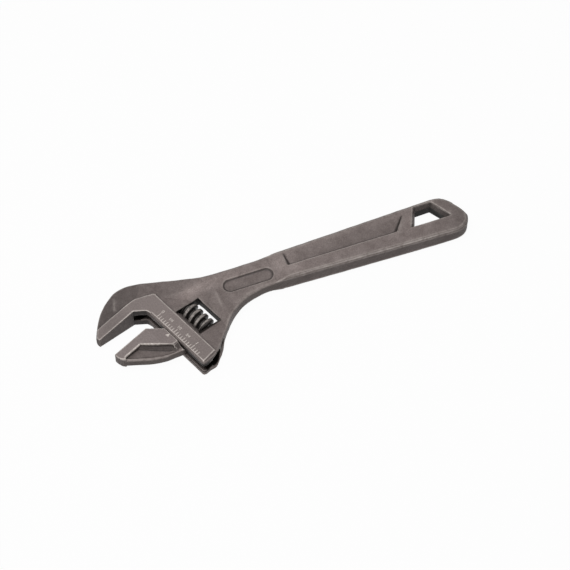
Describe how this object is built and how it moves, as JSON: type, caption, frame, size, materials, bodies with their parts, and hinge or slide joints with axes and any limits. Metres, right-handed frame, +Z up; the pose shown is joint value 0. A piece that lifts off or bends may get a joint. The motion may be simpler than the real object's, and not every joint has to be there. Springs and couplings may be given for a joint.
{
  "type": "adjustable wrench",
  "caption": "Forged adjustable wrench with a worm-driven movable jaw on a round rack, graduated cheek, sunk handle panel and hanging hole",
  "frame": {"origin": "middle of the underside of the box round the whole wrench, with the jaws 11.4 mm open", "axes": "+X from the jaws to the end of the handle, +Y from the movable jaw to the fixed jaw's side, +Z up through the thickness"},
  "size_m": [0.2026, 0.0584, 0.0126],
  "materials": {
    "forged_steel": "manganese-phosphated forging, grey-brown and satin, with worn pale edges",
    "jaw_steel": "manganese-phosphated forging with ground flats",
    "worm_steel": "turned steel, phosphated, with oil-dark grooves and polished crests",
    "pin_steel": "turned steel, dark",
    "spring_steel": "drawn spring wire"
  },
  "bodies": {
    "frame": {"body": "forged_steel", "worm_pin": "pin_steel", "worm_spring": "spring_steel"},
    "jaw": {"movable_jaw": "jaw_steel"},
    "worm": {"worm": "worm_steel"}
  },
  "joints": [
    {"name": "jaw_slide", "type": "slide", "parent": "frame", "child": "jaw", "axis": [0.3746, -0.9272, 0], "range_m": [-0.0111, 0.0166]},
    {"name": "worm_spin", "type": "hinge", "parent": "frame", "child": "worm", "pos_m": [-0.05071, -0.00076, 0.0063], "axis": [-0.3746, 0.9272, 0], "range_deg": [-1025, 1533]}
  ],
  "couplings": [
    {"joint": "worm_spin", "follows": "jaw_slide", "rad_per_m": 1611.1}
  ]
}
